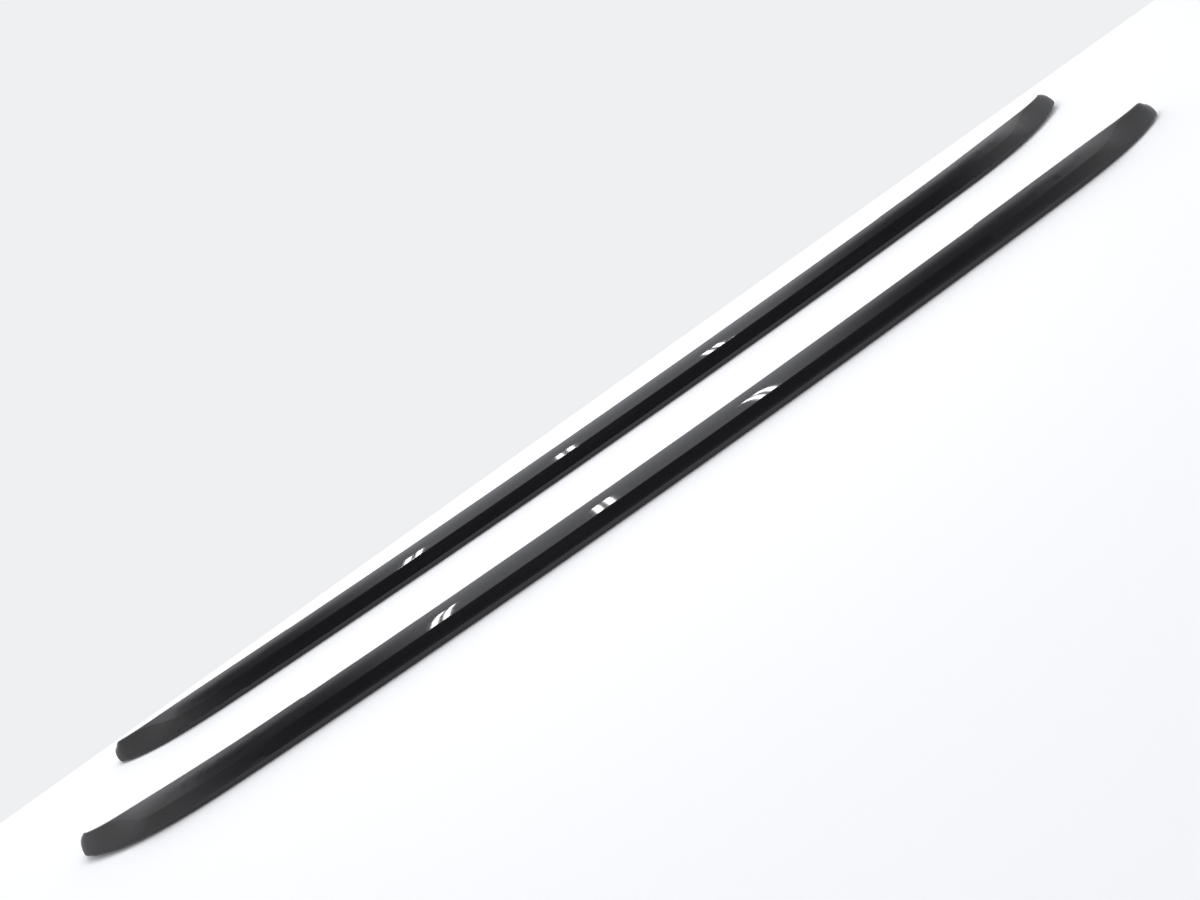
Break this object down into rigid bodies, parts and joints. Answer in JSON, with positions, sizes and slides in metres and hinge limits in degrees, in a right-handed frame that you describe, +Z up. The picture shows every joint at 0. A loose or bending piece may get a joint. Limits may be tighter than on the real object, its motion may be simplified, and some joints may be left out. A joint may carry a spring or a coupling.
{
  "type": "roof side rail pair",
  "caption": "Pair of gloss black flush roof side rails: bowed channels with a crease along the outer side, formed tongue ends, rubber base seals, foot blocks and studs.",
  "frame": {"origin": "centre of the pair's box, on the surface that the rails lie on", "axes": "+X along the rails, +Z up, which is across the car; the crowns face -Y and the bases, with their studs, face +Y; the right rail lies in front and the left one behind it"},
  "size_m": [1.8866, 0.3455, 0.0331],
  "materials": {
    "gloss_black": "gloss black paint under a clear coat",
    "rubber": "matte moulded rubber",
    "cast_aluminium": "satin, as cast",
    "plated_steel": "zinc plated"
  },
  "bodies": {
    "root": {"right_rail": "gloss_black", "right_base_gasket": "rubber", "right_front_pad": "rubber", "right_rear_pad": "rubber", "right_foot_block_1": "cast_aluminium", "right_stud_1": "plated_steel", "right_stud_seal_1": "rubber", "right_foot_block_2": "cast_aluminium", "right_stud_2": "plated_steel", "right_stud_seal_2": "rubber", "right_foot_block_3": "cast_aluminium", "right_stud_3": "plated_steel", "right_stud_seal_3": "rubber", "right_foot_block_4": "cast_aluminium", "right_stud_4": "plated_steel", "right_stud_seal_4": "rubber", "right_foot_block_5": "cast_aluminium", "right_stud_5": "plated_steel", "right_stud_seal_5": "rubber", "left_rail": "gloss_black", "left_base_gasket": "rubber", "left_front_pad": "rubber", "left_rear_pad": "rubber", "left_foot_block_1": "cast_aluminium", "left_stud_1": "plated_steel", "left_stud_seal_1": "rubber", "left_foot_block_2": "cast_aluminium", "left_stud_2": "plated_steel", "left_stud_seal_2": "rubber", "left_foot_block_3": "cast_aluminium", "left_stud_3": "plated_steel", "left_stud_seal_3": "rubber", "left_foot_block_4": "cast_aluminium", "left_stud_4": "plated_steel", "left_stud_seal_4": "rubber", "left_foot_block_5": "cast_aluminium", "left_stud_5": "plated_steel", "left_stud_seal_5": "rubber"}
  },
  "joints": []
}
